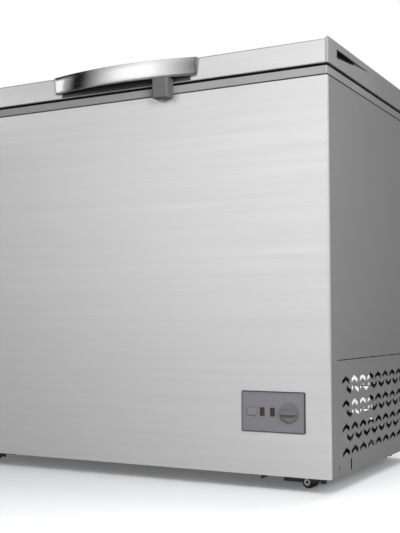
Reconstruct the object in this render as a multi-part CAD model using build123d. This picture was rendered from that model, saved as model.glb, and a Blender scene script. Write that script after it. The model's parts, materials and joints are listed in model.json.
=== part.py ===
from build123d import *
import os
from math import cos, radians, sin

# Chest freezer on four small rollers, millimetres.
# Front faces -Y, +X is the right-hand side seen from the front, z = 0 is the floor.

# ---- driving dimensions ------------------------------------------------------------
cabinet_width = 895.0
cabinet_depth = 540.0
floor_gap = 30.0            # floor to the underside of the cabinet
skin_top = 776.5            # top edge of the outer skins
breaker_bottom = 779.5      # visible lower edge of the plastic breaker frame
breaker_top = 794.5
lid_bottom = 799.5
lid_top = 849.2             # top of the end caps' raised rims
rail_top = 844.6            # top of the front and rear rails of the lid
strip_top = 842.8           # top of the bright front strip
lid_front_overhang = 2.3
lid_side_overhang = 2.6
wall = 65.0                 # outer face to tank, insulation included
sheet = 0.8                 # outer skins and base
liner_sheet = 0.7
corner_radius = 4.0
tank_radius = 15.0
hem = 9.0                   # hem folded inwards at the top of the skins
neck = 8.0                  # depth of the dark groove under the breaker frame
skin_return = 6.0           # how far the front skin wraps round the corner
flange = 15.0               # how far the side skins wrap onto the rear
seam = 0.3

# machine compartment, at the bottom right-hand rear
compartment_width = 232.0
compartment_front = 38.5    # its front wall, behind the cabinet's front
compartment_top = 260.0
step_cover = 55.0           # insulation over the compartment
step_side = 50.0            # insulation beside it
vent_top = 244.5
vent_gap = 1.6              # open seam over the vent grille

# handle, lock, controls, hinges, rollers
handle_length = 346.0       # along its bottom edge
handle_flare = 3.0          # how much further each end reaches at the top edge
handle_bottom = 809.0
handle_height = 36.0
handle_bulge = 30.0         # mid-span, in front of the lid, at the top edge
handle_lean = 3.0           # how much further back the bottom edge is
handle_end_bulge = 7.0
handle_band = 4.0
handle_foot = 25.0
handle_middle = 173.0       # its middle part, between two end parts
handle_part_gap = 0.1
lock_x = 99.0
lock_width = 37.0
lock_bottom = 768.5
lock_front = 26.0           # in front of the cabinet
bezel_x = 333.5
bezel_z = 148.5
bezel_width = 130.0
bezel_height = 77.0
hinge_x = 285.0
hinge_reach = 24.0          # behind the cabinet's rear
hinge_axis_back = 13.0      # hinge axis behind the cabinet's rear
hinge_axis_z = 800.0
roller_radius = 12.5
roller_width = 30.0
roller_inset_right = 71.0   # from the cabinet's side to a roller's middle
roller_inset_left = 40.0
roller_inset_y = 80.0

# ---- derived places ----------------------------------------------------------------
half_width = cabinet_width / 2
handle_depth = lid_front_overhang + handle_bulge
front = -(cabinet_depth + hinge_reach - handle_depth) / 2
rear = front + cabinet_depth
middle_y = (front + rear) / 2
lid_front = front - lid_front_overhang
lid_half = half_width + lid_side_overhang
compartment_left = half_width - compartment_width
compartment_y = front + compartment_front
tank_floor = floor_gap + wall
step_top = compartment_top + step_cover
step_x = compartment_left - step_side
hinge_axis_y = rear + hinge_axis_back


# ---- helpers -----------------------------------------------------------------------
def block(x0, x1, y0, y1, z0, z1):
    return Pos((x0 + x1) / 2, (y0 + y1) / 2, (z0 + z1) / 2) * Box(x1 - x0, y1 - y0, z1 - z0)


def rod_x(x0, x1, y, z, radius):
    return Pos((x0 + x1) / 2, y, z) * Rot(0, 90, 0) * Cylinder(radius, x1 - x0)


def rod_y(x, y0, y1, z, radius):
    return Pos(x, (y0 + y1) / 2, z) * Rot(90, 0, 0) * Cylinder(radius, y1 - y0)


def rod_z(x, y, z0, z1, radius):
    return Pos(x, y, (z0 + z1) / 2) * Cylinder(radius, z1 - z0)


def slab(inset, z0, z1, radius):
    """The cabinet's plan outline, set in all round, between two heights."""
    outline = RectangleRounded(cabinet_width - 2 * inset, cabinet_depth - 2 * inset, radius)
    return extrude(Pos(0, middle_y, z0) * outline, z1 - z0)


def ring(inset_out, radius_out, inset_in, radius_in, z0, z1):
    return slab(inset_out, z0, z1, radius_out) - slab(inset_in, z0, z1, radius_in)


def lid_slab(inset, z0, z1, radius):
    """The lid's plan outline, set in all round, between two heights."""
    depth = rear - lid_front
    outline = RectangleRounded(2 * (lid_half - inset), depth - 2 * inset, radius)
    return extrude(Pos(0, lid_front + depth / 2, z0) * outline, z1 - z0)


def tube(points, bends, radius):
    """A bent tube through points, with one bend radius per corner."""
    path = FilletPolyline(*points, radius=bends)
    section = Plane(origin=path @ 0, z_dir=path % 0) * Circle(radius)
    return sweep(section, path=path)


def mirrored(solid):
    return mirror(solid, about=Plane.YZ)


# ---- outer skins -------------------------------------------------------------------
def wall_shell():
    """The four skins as one folded shell, before it is cut into panels."""
    inner_radius = corner_radius - sheet
    shell = ring(0, corner_radius, sheet, inner_radius, floor_gap, skin_top)
    return shell + ring(0, corner_radius, hem, 1.0, skin_top - sheet, skin_top)


def bezel_window(grow, y0, y1):
    """The opening that the back of the control bezel passes through."""
    lip = 5.5
    half_x = bezel_width / 2 - lip + grow
    half_z = bezel_height / 2 - lip + grow
    return block(bezel_x - half_x, bezel_x + half_x, y0, y1, bezel_z - half_z, bezel_z + half_z)


def front_skin():
    region = block(-half_width, half_width, front, front + skin_return, floor_gap, skin_top)
    return (wall_shell() & region) - bezel_window(0.2, front - 1, front + 2)


def left_side_skin():
    x1 = -half_width + flange
    return wall_shell() & block(-half_width, x1, front + skin_return + seam, rear, floor_gap, skin_top)


def right_side_skin():
    notch = block(half_width - 30, half_width + 1, compartment_y - seam, rear + 1, 0, vent_top + vent_gap)
    return mirrored(left_side_skin()) - notch


hinge_screw_places = [
    (side * hinge_x + dx, z) for side in (-1, 1) for dx in (-15.0, 15.0) for z in (700.0, 765.0)
]
screw_radius = 2.4
screw_length = 16.0


def hinge_screw_holes(grow):
    holes = [rod_y(x, rear - screw_length, rear + 2.0, z, screw_radius + grow) for x, z in hinge_screw_places]
    return Part() + holes


def rear_skin():
    x1 = half_width - flange - seam
    panel = wall_shell() & block(-x1, x1, rear - hem - 1, rear, floor_gap, skin_top)
    opening = block(compartment_left, half_width, rear - 10, rear + 1, 0, compartment_top)
    return panel - opening - hinge_screw_holes(0.05)


# ---- base ---------------------------------------------------------------------------
drain_x = -330.0
drain_outer = 11.0
drain_inner = 8.0
pipe_y = rear - 33.0         # where refrigerant pipes rise through the compartment's ceiling
suction_x = 294.0
capillary_x = 330.0
drier_x = 360.0
discharge_x = 400.0
condenser_y = rear - 19.0
evaporator_radius = 4.0
condenser_radius = 2.5


def pipe_holes(grow):
    holes = [
        rod_z(suction_x, pipe_y, compartment_top - 1, compartment_top + 2, evaporator_radius + grow),
        rod_z(capillary_x, pipe_y, compartment_top - 1, compartment_top + 2, evaporator_radius + grow),
        rod_z(discharge_x, condenser_y, compartment_top - 1, compartment_top + 2, condenser_radius + grow),
        rod_z(drier_x, condenser_y, compartment_top - 1, compartment_top + 2, condenser_radius + grow),
    ]
    return Part() + holes


def base_pan():
    """Base sheet that steps up and over the machine compartment."""
    low, high = floor_gap, floor_gap + sheet
    x0, x1 = -half_width + sheet, half_width - sheet
    y0, y1 = front + sheet, rear - sheet
    left = compartment_left
    pan = block(x0, left, y0, y1, low, high)
    pan += block(left - sheet, x1, y0, compartment_y, low, high)
    pan += block(left - sheet, left, compartment_y - sheet, y1, low, compartment_top + sheet)
    pan += block(left - sheet, x1, compartment_y - sheet, y1, compartment_top, compartment_top + sheet)
    pan += block(left - sheet, x1, compartment_y - sheet, compartment_y, low, compartment_top + sheet)
    pan &= slab(sheet, low, compartment_top + sheet, corner_radius - sheet)
    pan -= rod_z(drain_x, middle_y, 0, tank_floor, drain_outer)
    pan -= rod_y(bezel_x, compartment_y - 5, compartment_y + 5, bezel_z, 12.0)
    return pan - pipe_holes(0.1)


# ---- tank -----------------------------------------------------------------------------
liner_top = 779.8


def tank(inset, top):
    """The tank's shape, set in from the insulation by inset; it steps up over the compartment."""
    x0, x1 = -half_width + wall + inset, half_width - wall - inset
    y0, y1 = front + wall + inset, rear - wall - inset
    well = block(x0, step_x - inset, y0, y1, tank_floor + inset, step_top + inset + 40)
    upper = block(x0, x1, y0, y1, step_top + inset, top)
    radius = tank_radius - inset
    well = fillet(well.edges().filter_by(Axis.Z), radius)
    upper = fillet(upper.edges().filter_by(Axis.Z), radius)
    return well + upper


def inner_liner():
    hole = rod_z(drain_x, middle_y, tank_floor - 5, tank_floor + 5, drain_inner)
    return tank(0, liner_top) - tank(liner_sheet, liner_top + 10) - hole


def evaporator_coil():
    """Tube wound round the tank: up from the compartment, five turns, and back down."""
    inset = wall - evaporator_radius - 0.2
    x0, x1 = -half_width + inset, half_width - inset
    y0, y1 = front + inset, rear - inset
    turns = 5
    rise = 80.0
    start_z = 350.0
    points = [(suction_x, pipe_y, compartment_top), (suction_x, pipe_y, start_z), (suction_x, y1, start_z)]
    for turn in range(turns):
        z = start_z + turn * rise
        points.append((x0, y1, z + rise * 0.25))
        points.append((x0, y0, z + rise * 0.5))
        points.append((x1, y0, z + rise * 0.75))
        if turn < turns - 1:
            points.append((x1, y1, z + rise))
    last_z = start_z + turns * rise
    points += [(x1, y1, last_z - 5), (capillary_x, y1, last_z), (capillary_x, pipe_y, last_z)]
    points.append((capillary_x, pipe_y, compartment_top))
    bends = [10.0, 10.0] + [16.0] * (len(points) - 6) + [10.0, 10.0]
    return tube(points, bends, evaporator_radius)


def condenser_coil():
    """Tube wound inside the outer skins: four turns that give their heat to the walls."""
    inset = sheet + condenser_radius + 0.2
    x0, x1 = -half_width + inset, half_width - inset
    y0, y1 = front + inset, rear - inset
    turns = 4
    rise = 105.0
    start_z = 310.0
    points = [(discharge_x, condenser_y, compartment_top), (discharge_x, condenser_y, start_z)]
    points.append((discharge_x, y1, start_z))
    for turn in range(turns):
        z = start_z + turn * rise
        points.append((x0, y1, z + rise * 0.25))
        points.append((x0, y0, z + rise * 0.5))
        points.append((x1, y0, z + rise * 0.75))
        if turn < turns - 1:
            points.append((x1, y1, z + rise))
    last_z = start_z + turns * rise
    points += [(x1, y1, last_z - 5), (drier_x, y1, last_z), (drier_x, condenser_y, last_z)]
    points.append((drier_x, condenser_y, compartment_top))
    bends = [7.0, 7.0] + [14.0] * (len(points) - 6) + [7.0, 7.0]
    return tube(points, bends, condenser_radius)


# ---- insulation -----------------------------------------------------------------------
breaker_lip = 15.0
ledge_out = 49.0
ledge_bottom = 780.0
breaker_sheet = 3.0
foam_ring_top = breaker_top - breaker_sheet


def cabinet_foam(evaporator, condenser):
    low = floor_gap + sheet
    foam = slab(sheet, low, skin_top - sheet, corner_radius - sheet)
    foam += slab(hem, skin_top - sheet, skin_top, 1.0)
    foam += slab(breaker_lip, skin_top, ledge_bottom, 5.0)
    foam += ring(breaker_lip, 5.0, ledge_out, 20.0, ledge_bottom, foam_ring_top)
    foam -= tank(0, foam_ring_top + 10)
    left = compartment_left - sheet
    ceiling = compartment_top + sheet
    foam -= block(left, half_width, compartment_y - sheet, rear + 1, 0, ceiling)
    foam -= bezel_window(0.5, front, compartment_y)
    foam -= rod_z(drain_x, middle_y, 0, tank_floor + 1, drain_outer)
    foam -= hinge_screw_holes(0.05)
    return foam - evaporator - condenser


def lock_slot(y0, y1):
    """Slot that the lock's cam swings through."""
    return block(lock_x - 10.75, lock_x + 12.25, y0, y1, 783.0, 788.0)


def breaker_frame():
    """Plastic frame round the tank's mouth, with an inner ledge that the basket hangs on."""
    ledge_in = ledge_out + breaker_sheet
    skirt_out = wall + liner_sheet + 0.2
    skirt_in = skirt_out + 2.5
    skirt_bottom = 760.0
    outer = 0.5
    frame = ring(outer, 3.5, outer + breaker_sheet, 1.0, breaker_bottom, breaker_top)
    frame += ring(outer, 3.5, breaker_lip, 5.0, breaker_bottom, breaker_bottom + 2.5)
    frame += ring(neck, 2.0, breaker_lip, 5.0, skin_top, breaker_bottom)
    frame += ring(outer, 3.5, ledge_in, 17.0, foam_ring_top, breaker_top)
    frame += ring(ledge_out, 20.0, ledge_in, 17.0, ledge_bottom, breaker_top)
    frame += ring(ledge_out, 20.0, skirt_in, 11.6, ledge_bottom, ledge_bottom + breaker_sheet)
    frame += ring(skirt_out, 14.1, skirt_in, 11.6, skirt_bottom, ledge_bottom + breaker_sheet)
    return frame - lock_slot(front - 5, front + 4)


def lock_keeper():
    """Steel plate behind the breaker frame's front face, with the same slot."""
    y0 = front + 0.5 + breaker_sheet
    plate = block(lock_x - 17, lock_x + 17, y0, y0 + 1.5, breaker_bottom + 2.5, foam_ring_top)
    return plate - lock_slot(front, front + 8)


# ---- machine compartment --------------------------------------------------------------
plate_sheet = 2.0
panel_sheet = 1.2
compressor_x = suction_x
compressor_y = front + 285.0
compressor_radius = 72.0
foot_z = 50.0
foot_places = [
    (compressor_x + dx, compressor_y + dy) for dx in (-55.0, 55.0) for dy in (-88.0, 88.0)
]


def chevron(points_up):
    half = 20.5
    arm = 8.5
    stroke = 9.0
    sign = 1 if points_up else -1
    corners = [(-half, -arm - stroke), (-half, -arm), (0, 0), (half, -arm), (half, -arm - stroke), (0, -stroke)]
    return make_face(Polyline(*[(u, sign * v) for u, v in corners], close=True))


def side_vent_grille():
    """Side panel of the machine compartment, pierced with rows of chevrons."""
    pitch_y = 49.5
    first_up_y = front + 83.6
    first_down_y = front + 107.0
    up_rows = [floor_gap + z for z in (184.7, 139.7, 94.6, 49.5)]
    down_rows = [floor_gap + z for z in (149.0, 103.5, 57.7)]
    panel = block(half_width - panel_sheet, half_width, compartment_y, rear, floor_gap, vent_top)
    panel += block(half_width - flange, half_width, rear - panel_sheet, rear, floor_gap, vent_top)
    panel += block(half_width - 10, half_width, compartment_y, compartment_y + panel_sheet, floor_gap, vent_top)
    face = Plane(origin=(half_width - 5, 0, 0), x_dir=(0, 1, 0), z_dir=(1, 0, 0))
    cuts = [Pos(first_up_y + k * pitch_y, z) * chevron(True) for k in range(9) for z in up_rows]
    cuts += [Pos(first_down_y + k * pitch_y, z) * chevron(False) for k in range(8) for z in down_rows]
    for y, length, width in ((111.0, 24.0, 10.0), (500.0, 24.0, 10.0), (45.0, 10.0, 5.0)):
        cuts.append(Pos(front + y, floor_gap + 15.0) * SlotOverall(length, width, rotation=90))
    holes = [extrude(face * cut, 10) for cut in cuts]
    return panel - holes


cover_screw_places = [
    (x, z) for x in (compartment_left + 9, half_width - flange - 11) for z in (floor_gap + 12, compartment_top - 12)
]
gland_x = compartment_left + 34.0
gland_z = 62.0
gland_hole = 4.0


def rear_compressor_cover():
    """Rear cover of the machine compartment, with a ventilation window of four slots."""
    x0, x1 = compartment_left + seam, half_width - flange - seam
    window_x = half_width - 122.5
    window_width = 51.0
    cover = block(x0, x1, rear - panel_sheet, rear, floor_gap + plate_sheet + seam, compartment_top - seam)
    for row in range(4):
        z = 98.0 + row * 27.0
        half = window_width / 2
        cover -= block(window_x - half, window_x + half, rear - 5, rear + 5, z - 12, z + 12)
    for x, z in cover_screw_places:
        cover -= rod_y(x, rear - 5, rear + 5, z, screw_radius - 0.35)
    return cover - rod_y(gland_x, rear - 5, rear + 5, gland_z, 9.0)


def cover_screws():
    """Four self-tapping screws that hold the rear cover on its clips."""
    screws = []
    for x, z in cover_screw_places:
        shank = rod_y(x, rear - 8, rear, z, screw_radius - 0.4)
        screws.append(shank + fillet(rod_y(x, rear, rear + 2.4, z, 4.2).edges().group_by(Axis.Y)[-1], 1.2))
    return Compound(screws)


def mains_cord_gland():
    """Flanged bush in the rear cover, with the hole that the supply cord leaves by."""
    bush = rod_y(gland_x, rear - 9, rear, gland_z, 8.8) + rod_y(gland_x, rear, rear + 4, gland_z, 12.0)
    return bush - rod_y(gland_x, rear - 10, rear + 5, gland_z, gland_hole)


def compressor_base_plate():
    """Steel plate that closes the compartment's floor and carries the compressor."""
    x0, x1 = compartment_left + seam, half_width - panel_sheet - seam
    y0, y1 = compartment_y + panel_sheet + seam, rear - panel_sheet - seam
    plate = block(x0, x1, y0, y1, floor_gap, floor_gap + plate_sheet)
    plate += block(x0, x0 + plate_sheet, y0, y1, floor_gap, floor_gap + 14)
    tab = Polyline((289, 15), (289, floor_gap), (303, floor_gap), (303, 21), close=True)
    plate += extrude(Plane.XZ.offset(-y0 - plate_sheet) * make_face(tab), plate_sheet)
    plate -= [rod_z(x, y, 0, 60, 4.1) for x, y in foot_places]
    plate -= [block(x0 + 60, x1 - 60, y0 + 70 + k * 14, y0 + 76 + k * 14, 20, 40) for k in range(3)]
    return plate


def compressor_shell():
    """Welded two-part can with a seam flange, on a foot plate."""
    can = rod_z(compressor_x, compressor_y, foot_z + 3, foot_z + 165, compressor_radius)
    can = fillet(can.edges().filter_by(GeomType.CIRCLE).sort_by(Axis.Z)[-1], 44)
    can = fillet(can.edges().filter_by(GeomType.CIRCLE).sort_by(Axis.Z)[0], 26)
    seam_flange = rod_z(compressor_x, compressor_y, foot_z + 78, foot_z + 82, compressor_radius + 3)
    half_x, half_y = 69.0, 102.0
    foot = block(
        compressor_x - half_x, compressor_x + half_x,
        compressor_y - half_y, compressor_y + half_y, foot_z, foot_z + 3,
    )
    foot = fillet(foot.edges().filter_by(Axis.Z), 14)
    foot -= [rod_z(x, y, foot_z - 1, foot_z + 4, 4.1) for x, y in foot_places]
    return can + seam_flange + foot


def compressor_grommets():
    low = floor_gap + plate_sheet
    solids = []
    for x, y in foot_places:
        body = rod_z(x, y, low, foot_z, 11.0) - rod_z(x, y, low + 6, low + 9, 12.0)
        body += rod_z(x, y, low + 6, low + 9, 8.5)
        solids.append(body - rod_z(x, y, low - 1, foot_z + 1, 4.1))
    return Compound([solid.solid() for solid in solids])


def compressor_bolts():
    """Bolt, washer and nut of each compressor foot, as one solid each."""
    solids = []
    for x, y in foot_places:
        bolt = rod_z(x, y, floor_gap - 6, foot_z + 9, 4.0)
        bolt += rod_z(x, y, foot_z + 3, foot_z + 4.5, 9.0)
        bolt += extrude(Pos(x, y, foot_z + 4.5) * RegularPolygon(7.5, 6), 4.5)
        bolt += extrude(Pos(x, y, floor_gap - 5) * RegularPolygon(7.5, 6), 5)
        solids.append(bolt.solid())
    return Compound(solids)


def start_relay_cover():
    x1 = compressor_x + compressor_radius + 30
    box = block(x1 - 60, x1, compressor_y - 27, compressor_y + 27, foot_z + 12, foot_z + 72)
    box = fillet(box.edges().group_by(Axis.X)[-1], 5)
    return box - rod_z(compressor_x, compressor_y, 0, 400, compressor_radius + 0.2)


def suction_pipe():
    start = (suction_x, compressor_y + compressor_radius, foot_z + 104)
    corner = (suction_x, pipe_y, foot_z + 104)
    end = (suction_x, pipe_y, compartment_top)
    return tube([start, corner, end], [20.0], evaporator_radius)


def discharge_pipe():
    angle = radians(40)
    z = foot_z + 60
    start_x = compressor_x + compressor_radius * cos(angle)
    start_y = compressor_y + compressor_radius * sin(angle)
    out_x = start_x + 40 * cos(angle)
    out_y = start_y + 40 * sin(angle)
    points = [(start_x, start_y, z), (out_x, out_y, z), (discharge_x, condenser_y - 90, z + 20)]
    points += [(discharge_x, condenser_y, z + 40), (discharge_x, condenser_y, compartment_top)]
    return tube(points, [15.0, 15.0, 15.0], condenser_radius)


drier_bottom = 120.0


def filter_drier():
    """Copper drier with drawn-down ends and the stub that leads up to the condenser."""
    profile = Polyline(
        (0, drier_bottom), (2, drier_bottom), (9, drier_bottom + 14), (9, drier_bottom + 86),
        (condenser_radius, drier_bottom + 100), (condenser_radius, compartment_top), (0, compartment_top),
        close=True,
    )
    body = revolve(Plane.XZ * make_face(profile), Axis.Z, 360)
    return Pos(drier_x, condenser_y, 0) * body


def capillary_tube():
    points = [(drier_x, condenser_y, drier_bottom), (drier_x, condenser_y, drier_bottom - 22)]
    points += [(capillary_x, pipe_y, drier_bottom - 40), (capillary_x, pipe_y, compartment_top)]
    return tube(points, [9.0, 9.0], 1.2)


# ---- controls ---------------------------------------------------------------------------
bezel_proud = 2.5
button_x = half_width - 157.3
red_x = half_width - 135.8
green_x = half_width - 114.9
knob_x = half_width - 79.2
button_width = 18.0
button_height = 14.5
lens_width = 9.4
lens_height = 16.0
knob_radius = 17.5
stem_radius = 3.0
fit_gap = 0.05


def plate_xz(x, z, width, height, radius, y0, y1):
    """A rounded rectangle facing the front, between two depths."""
    face = Plane(origin=(x, y0, z), x_dir=(1, 0, 0), z_dir=(0, -1, 0))
    return extrude(face * RectangleRounded(width, height, radius), y0 - y1)


def control_bezel():
    face = plate_xz(bezel_x, bezel_z, bezel_width, bezel_height, 3.0, front - bezel_proud, front)
    face = fillet(face.faces().sort_by(Axis.Y)[0].edges(), 1.0)
    recess = plate_xz(
        bezel_x, bezel_z, bezel_width - 8, bezel_height - 8, 2.0, front - bezel_proud, front - bezel_proud + 0.8
    )
    skirt = bezel_window(0, front - 0.5, front + 24) - bezel_window(-2.0, front - 1, front + 25)
    bezel = face - recess + skirt
    bezel -= plate_xz(button_x, bezel_z, button_width + 0.6, button_height + 0.6, 2.3, front - 5, front + 1)
    for x in (red_x, green_x):
        bezel -= plate_xz(x, bezel_z, lens_width + 0.1, lens_height + 0.1, 1.05, front - 5, front + 1)
    return bezel - rod_y(knob_x, front - 5, front + 1, bezel_z, stem_radius + 2 * fit_gap)


def lamp_lens(x):
    lens = plate_xz(x, bezel_z, lens_width, lens_height, 1.0, front - bezel_proud - 0.4, front + 6)
    return fillet(lens.faces().sort_by(Axis.Y)[0].edges(), 0.6)


def thermostat_body():
    body = block(knob_x - 18, knob_x + 18, front + 5, front + 30, bezel_z - 15, bezel_z + 15)
    body = fillet(body.edges().filter_by(Axis.Y), 2.0)
    return body - rod_y(knob_x, front, front + 16, bezel_z, stem_radius + fit_gap)


def thermostat_knob():
    """Dial with a grip bar across it and the stem that turns in the thermostat."""
    y_face = front - bezel_proud + 0.4
    disc = rod_y(knob_x, y_face - 4.5, y_face, bezel_z, knob_radius)
    disc = fillet(disc.faces().sort_by(Axis.Y)[0].edges(), 1.0)
    grip = plate_xz(knob_x, bezel_z, 2 * knob_radius - 3, 8.0, 2.0, y_face - 11.0, y_face - 4.0)
    grip = fillet(grip.faces().sort_by(Axis.Y)[0].edges(), 1.2)
    return disc + grip + rod_y(knob_x, y_face - 1, front + 14, bezel_z, stem_radius)


def fast_freeze_button():
    y_face = front - bezel_proud - 1.7
    cap = plate_xz(button_x, bezel_z, button_width, button_height, 2.0, y_face, front + 5)
    return fillet(cap.faces().sort_by(Axis.Y)[0].edges(), 0.8)


def fast_freeze_switch():
    body = block(button_x - 8, button_x + 8, front + 9, front + 28, bezel_z - 9, bezel_z + 9)
    pins = [block(button_x + dx - 1, button_x + dx + 1, front + 28, front + 34, bezel_z - 3, bezel_z + 3)
            for dx in (-4.0, 4.0)]
    return body + pins


# ---- drain ------------------------------------------------------------------------------
def drain_tube():
    outer = rod_z(drain_x, middle_y, floor_gap - 4, tank_floor, drain_outer - 0.1)
    return outer - rod_z(drain_x, middle_y, floor_gap - 5, tank_floor + 1, drain_inner)


def drain_plug():
    """Plug that pulls up out of the tank's floor."""
    low = tank_floor + liner_sheet
    head = fillet(rod_z(drain_x, middle_y, low, low + 4, 15.0).edges().group_by(Axis.Z)[-1], 1.5)
    stem = rod_z(drain_x, middle_y, low - 18, low, drain_inner - 0.2)
    pull = block(drain_x - 7, drain_x + 7, middle_y - 1.5, middle_y + 1.5, low + 4, low + 12)
    pull = fillet(pull.edges().filter_by(Axis.Y).group_by(Axis.Z)[-1], 4)
    return head + stem + pull


# ---- rollers ------------------------------------------------------------------------------
roller_places = {
    "front_left": (-half_width + roller_inset_left, front + roller_inset_y),
    "front_right": (half_width - roller_inset_right, front + roller_inset_y),
    "rear_left": (-half_width + roller_inset_left, rear - roller_inset_y),
    "rear_right": (half_width - roller_inset_right, rear - roller_inset_y),
}
axle_radius = 4.0
axle_hollow = 2.8
bracket_gap = roller_width + 4.0


def caster_bracket(x, y):
    """Folded channel with two deep cheeks that hold the axle, notched beside the roller."""
    cheek = 2.0
    drop = 18.5
    inner, outer, notch = -54.0, min(43.0, half_width - x - 5.0), 24.0
    y0 = y - bracket_gap / 2 - cheek
    y1 = y + bracket_gap / 2 + cheek
    bracket = block(x + inner, x + outer, y0, y1, floor_gap - cheek, floor_gap)
    outline = Polyline((inner, 0), (outer, 0), (outer - 6, -drop), (inner + 6, -drop), close=True)
    side = make_face(outline) + Pos(0, roller_radius - floor_gap) * Circle(7.0)
    side += Pos(0, roller_radius / 2 - floor_gap / 2) * Rectangle(14.0, floor_gap - roller_radius)
    side -= Pos(notch, -drop) * Rectangle(4.0, 2 * (drop - cheek))
    for start in (y0 + cheek, y1):
        face = Plane(origin=(x, start, floor_gap), x_dir=(1, 0, 0), z_dir=(0, -1, 0))
        bracket += extrude(face * side, cheek)
    bracket -= rod_y(x, y0 - 1, y1 + 1, roller_radius, axle_radius + 0.02)
    return bracket.solid()


def left_or_right_bracket(x, y):
    return caster_bracket(x, y) if x > 0 else mirrored(caster_bracket(-x, y))


def caster_axle(x, y):
    """Tubular rivet with a rolled head at each end."""
    half = bracket_gap / 2 + 2.0
    axle = rod_y(x, y - half - 1.2, y + half + 1.2, roller_radius, axle_radius)
    for side in (-1, 1):
        y_head = y + side * (half + 0.8)
        axle += rod_y(x, y_head - 0.7, y_head + 0.7, roller_radius, 6.4)
    return (axle - rod_y(x, y - half - 2, y + half + 2, roller_radius, axle_hollow)).solid()


def roller(x, y):
    """Roller with a hub boss at each end, turning on its axle."""
    half = roller_width / 2
    tread = rod_y(x, y - half, y + half, roller_radius, roller_radius)
    tread = fillet(tread.edges().filter_by(GeomType.CIRCLE), 1.5)
    for side in (-1, 1):
        y_dish, y_boss = y + side * (half - 2.5), y + side * (half + 1.0)
        tread -= rod_y(x, *sorted((y_dish, y_boss)), roller_radius, 9.5)
        tread += rod_y(x, *sorted((y_dish - side, y_boss)), roller_radius, 6.0)
    return tread - rod_y(x, y - half - 3, y + half + 3, roller_radius, axle_radius + fit_gap)


# ---- hinges -------------------------------------------------------------------------------
pin_radius = 3.0
ear = 2.5
ear_half = 28.0
leaf_half = 25.0


def hinge_base(x):
    """Folded steel channel on the cabinet's rear, with two ears for the pin."""
    low, high = 680.0, 792.0
    base = block(x - ear_half, x + ear_half, rear, rear + 2.0, low, high)
    for side in (-1, 1):
        x0, x1 = sorted((x + side * (ear_half - ear), x + side * ear_half))
        cheek = block(x0, x1, rear, rear + 16, low, high + 4)
        cheek += block(x0, x1, rear + 2, rear + hinge_reach, low + 40, high + 4)
        cheek += rod_x(x0, x1, hinge_axis_y, hinge_axis_z, 11.0)
        base += cheek
    base -= rod_x(x - 40, x + 40, hinge_axis_y, hinge_axis_z, pin_radius + 0.02)
    for hole_x, z in hinge_screw_places:
        base -= rod_y(hole_x, rear - 1, rear + 3, z, screw_radius + 0.05)
    return base.solid()


def hinge_pin(x):
    pin = rod_x(x - ear_half - 1, x + ear_half + 1, hinge_axis_y, hinge_axis_z, pin_radius)
    for side in (-1, 1):
        x_head = x + side * (ear_half + 0.9)
        pin += rod_x(x_head - 0.9, x_head + 0.9, hinge_axis_y, hinge_axis_z, 4.8)
    return pin.solid()


def hinge_spring(x):
    """Torsion spring on the pin, between the leaf's two knuckles, with one leg on the base."""
    coil_radius = 4.6
    wire = 0.8
    length = 20.0
    path = Helix(pitch=2.0, height=length, radius=coil_radius)
    coil = sweep(Plane(origin=path @ 0, z_dir=path % 0) * Circle(wire), path=path, is_frenet=True)
    return (Pos(x - length / 2, hinge_axis_y, hinge_axis_z) * Rot(0, 90, 0) * coil).solid()


leaf_screw_places = [(dx, z) for dx in (-15.0, 15.0) for z in (817.0, 835.0)]


def leaf_screw_holes(grow):
    holes = []
    for side in (-1, 1):
        for dx, z in leaf_screw_places:
            x = side * hinge_x + dx
            holes.append(rod_y(x, rear - screw_length, rear + 2.5, z, screw_radius + grow))
    return Part() + holes


def hinge_leaf(x):
    """Plate on the lid's rear with two knuckles round the pin."""
    leaf = block(x - leaf_half, x + leaf_half, rear, rear + 2.5, 808.0, 842.0)
    leaf = fillet(leaf.edges().filter_by(Axis.Y).group_by(Axis.Z)[-1], 4.0)
    for side in (-1, 1):
        x0, x1 = sorted((x + side * 12.0, x + side * leaf_half))
        leaf += rod_x(x0, x1, hinge_axis_y, hinge_axis_z, 6.0)
        leaf += block(x0, x1, rear + 7.5, hinge_axis_y + 2.0, hinge_axis_z, 812.0)
        leaf += block(x0, x1, rear, hinge_axis_y, 808.0, 812.0)
    leaf -= rod_x(x - 40, x + 40, hinge_axis_y, hinge_axis_z, pin_radius + fit_gap)
    return (leaf - leaf_screw_holes(0.05)).solid()


def pan_head(x, y, z):
    """Rounded screw head standing on the plane y."""
    return fillet(rod_y(x, y, y + 2.6, z, 4.4).edges().group_by(Axis.Y)[-1], 1.3)


def hinge_base_screws():
    solids = []
    for x, z in hinge_screw_places:
        solids.append((rod_y(x, rear - screw_length, rear + 2.5, z, screw_radius) + pan_head(x, rear + 2, z)).solid())
    return Compound(solids)


def leaf_screws():
    solids = []
    for side in (-1, 1):
        for dx, z in leaf_screw_places:
            x = side * hinge_x + dx
            shank = rod_y(x, rear - screw_length, rear + 3, z, screw_radius)
            solids.append((shank + pan_head(x, rear + 2.5, z)).solid())
    return Compound(solids)


# ---- lid ------------------------------------------------------------------------------------
cap_width = 30.0
cap_wrap = 6.0               # how far the end caps show on the front
rail_depth = 25.0
rail_sheet = 3.0
strip_sheet = 1.0
lid_liner_sheet = 1.7
dish_inset = 73.0
dish_bottom = 788.0
top_sheet = 0.7
cap_inner = lid_half - cap_width
handle_screw_places = [(-160.0, 827.0), (160.0, 827.0)]


def handle_screw_holes(grow, y0, y1):
    return Part() + [rod_y(x, y0, y1, z, 2.0 + grow) for x, z in handle_screw_places]


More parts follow.
